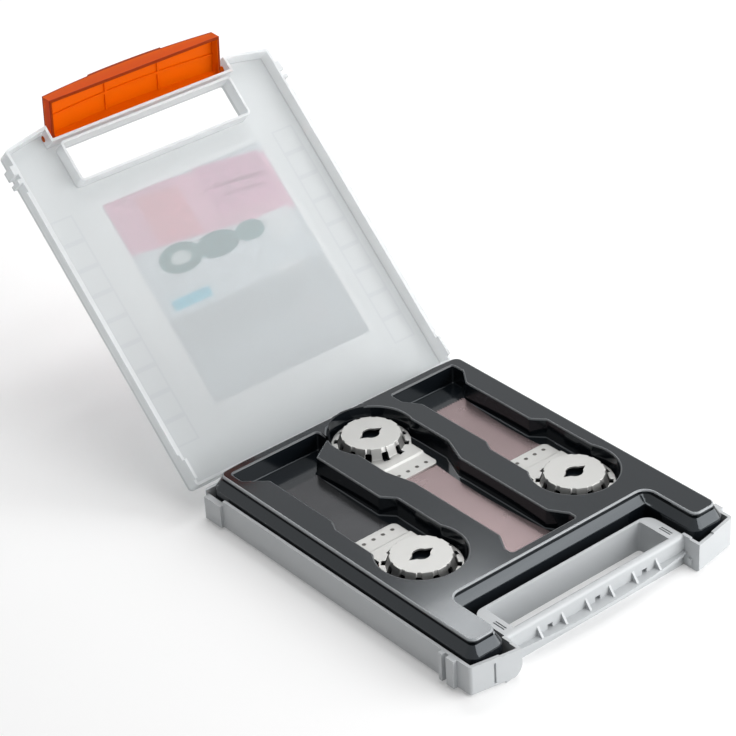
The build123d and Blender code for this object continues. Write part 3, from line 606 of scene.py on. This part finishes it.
# the tray's rounded top edges take tray_edge, a painted highlight
softened(
    "tray_insert",
    "tray",
    width=0.0008,
    segments=4,
    lowest=0.012,
    kept=(BEHIND_CENTRE_POCKET, BELOW_TRAY_LIP),
    edge_material="tray_edge",
)
softened("base_shell", "base", width=0.0003, segments=2, kept=(BASE_FRONT, BASE_HINGES))
for side in ("left", "centre", "right"):
    softened(f"blade_{side}_arbor", f"blade_{side}", width=0.00022, segments=2)

# ---- Camera ----------------------------------------------------------------------------
CAMERA_AZIMUTH = math.radians(-38.288)
CAMERA_ELEVATION = math.radians(31.655)
CAMERA_ROLL = math.radians(3.311)
CAMERA_DISTANCE = 1.355144
CAMERA_TARGET = Vector((0.060261, 0.141665, 0.0))
CAMERA_FOCUS = 2650.68  # focal length in pixels of a picture this wide
PICTURE_WIDTH = 736.0
SENSOR_WIDTH = 36.0


def make_camera():
    back = Vector(
        (
            math.sin(CAMERA_AZIMUTH) * math.cos(CAMERA_ELEVATION),
            -math.cos(CAMERA_AZIMUTH) * math.cos(CAMERA_ELEVATION),
            math.sin(CAMERA_ELEVATION),
        )
    )
    right = Vector((0, 0, 1)).cross(back).normalized()
    up = back.cross(right)
    turned_right = right * math.cos(CAMERA_ROLL) - up * math.sin(CAMERA_ROLL)
    turned_up = right * math.sin(CAMERA_ROLL) + up * math.cos(CAMERA_ROLL)
    camera_data = bpy.data.cameras.new("camera")
    camera_data.lens = CAMERA_FOCUS * SENSOR_WIDTH / PICTURE_WIDTH
    camera_data.sensor_width = SENSOR_WIDTH
    camera = bpy.data.objects.new("camera", camera_data)
    place = Matrix((turned_right, turned_up, back)).transposed().to_4x4()
    place.translation = CAMERA_TARGET + back * CAMERA_DISTANCE
    camera.matrix_world = place
    bpy.context.scene.collection.objects.link(camera)
    bpy.context.scene.camera = camera


make_camera()

# ---- Floor and light ---------------------------------------------------------------------

FLOOR_HALF_SIDE = 4.0
FLOOR_GLOW_START = 0.45  # distance from the case's middle where the paper begins to turn white
FLOOR_GLOW_FULL = 1.1
FLOOR_GLOW_LEAST = 0.2  # share of white light nearer than the start
WORLD_STRENGTH = 0.27  # of the light that the world throws on things


def seen_directly(tree):
    """1 for what is seen straight, in a reflection or through clear plastic, else 0."""
    path = tree.nodes.new("ShaderNodeLightPath")
    straight = math_node(tree, "MAXIMUM", path.outputs["Is Camera Ray"], path.outputs["Is Glossy Ray"])
    return math_node(tree, "MAXIMUM", straight, path.outputs["Is Transmission Ray"])


def floor_paper():
    """Pale paper that turns into plain white light away from the case."""
    material, tree, shader = new_material("floor_paper")
    shader.inputs["Base Color"].default_value = tone(249, 249, 249)
    shader.inputs["Roughness"].default_value = 0.8
    shader.inputs["Specular IOR Level"].default_value = 0.1
    distance = node(tree, "ShaderNodeVectorMath", operation="LENGTH")
    tree.links.new(object_place(tree), distance.inputs[0])
    far = node(tree, "ShaderNodeMapRange", interpolation_type="SMOOTHSTEP")
    far.inputs["From Min"].default_value = FLOOR_GLOW_START
    far.inputs["From Max"].default_value = FLOOR_GLOW_FULL
    far.inputs["To Min"].default_value = FLOOR_GLOW_LEAST
    tree.links.new(distance.outputs["Value"], far.inputs["Value"])
    share = math_node(tree, "MULTIPLY", seen_directly(tree), far.outputs["Result"])
    glow = node(tree, "ShaderNodeEmission", Strength=1.0)
    blend = tree.nodes.new("ShaderNodeMixShader")
    tree.links.new(share, blend.inputs["Fac"])
    tree.links.new(shader.outputs["BSDF"], blend.inputs[1])
    tree.links.new(glow.outputs["Emission"], blend.inputs[2])
    tree.links.new(blend.outputs["Shader"], tree.nodes["Material Output"].inputs["Surface"])
    return material


def make_floor():
    mesh = bpy.data.meshes.new("floor")
    shape = bmesh.new()
    bmesh.ops.create_grid(shape, x_segments=1, y_segments=1, size=FLOOR_HALF_SIDE)
    shape.to_mesh(mesh)
    shape.free()
    mesh.materials.append(floor_paper())
    floor = bpy.data.objects.new("floor", mesh)
    bpy.context.scene.collection.objects.link(floor)


def make_lamp(name, size, power, place, aim):
    data = bpy.data.lights.new(name, "AREA")
    data.shape = "RECTANGLE"
    data.size, data.size_y = size
    data.energy = power
    lamp = bpy.data.objects.new(name, data)
    lamp.location = place
    direction = Vector(aim) - Vector(place)
    lamp.rotation_euler = direction.to_track_quat("-Z", "Y").to_euler()
    bpy.context.scene.collection.objects.link(lamp)
    return lamp


def make_world():
    """White light all round, weaker on the case than where it is seen directly."""
    world = bpy.data.worlds.new("studio")
    world.use_nodes = True
    tree = world.node_tree
    surround = tree.nodes["Background"]
    surround.inputs["Color"].default_value = (1, 1, 1, 1)
    strength = tree.nodes.new("ShaderNodeMapRange")
    strength.inputs["To Min"].default_value = WORLD_STRENGTH
    tree.links.new(seen_directly(tree), strength.inputs["Value"])
    tree.links.new(strength.outputs["Result"], surround.inputs["Strength"])
    bpy.context.scene.world = world


make_floor()
make_world()
make_lamp("front_softbox", (1.6, 1.0), 24.0, (0.7, -1.0, 0.5), (0.0, 0.0, 0.0))
overhead = make_lamp("overhead_softbox", (0.7, 0.7), 4.5, (0.1, 0.0, 1.3), (0.1, 0.0, 0.0))
overhead.visible_glossy = False
make_lamp("left_strip_light", (0.12, 0.6), 1.5, (0.14, 0.65, 0.62), (0.14, 0.65, 0.0))
make_lamp("top_strip_light", (0.6, 0.12), 1.5, (0.5, 0.22, 0.62), (0.5, 0.22, 0.0))
make_lamp("small_softbox", (0.11, 0.10), 0.30, (0.435, 0.505, 0.62), (0.435, 0.505, 0.0))

bpy.context.scene.view_settings.view_transform = "Standard"
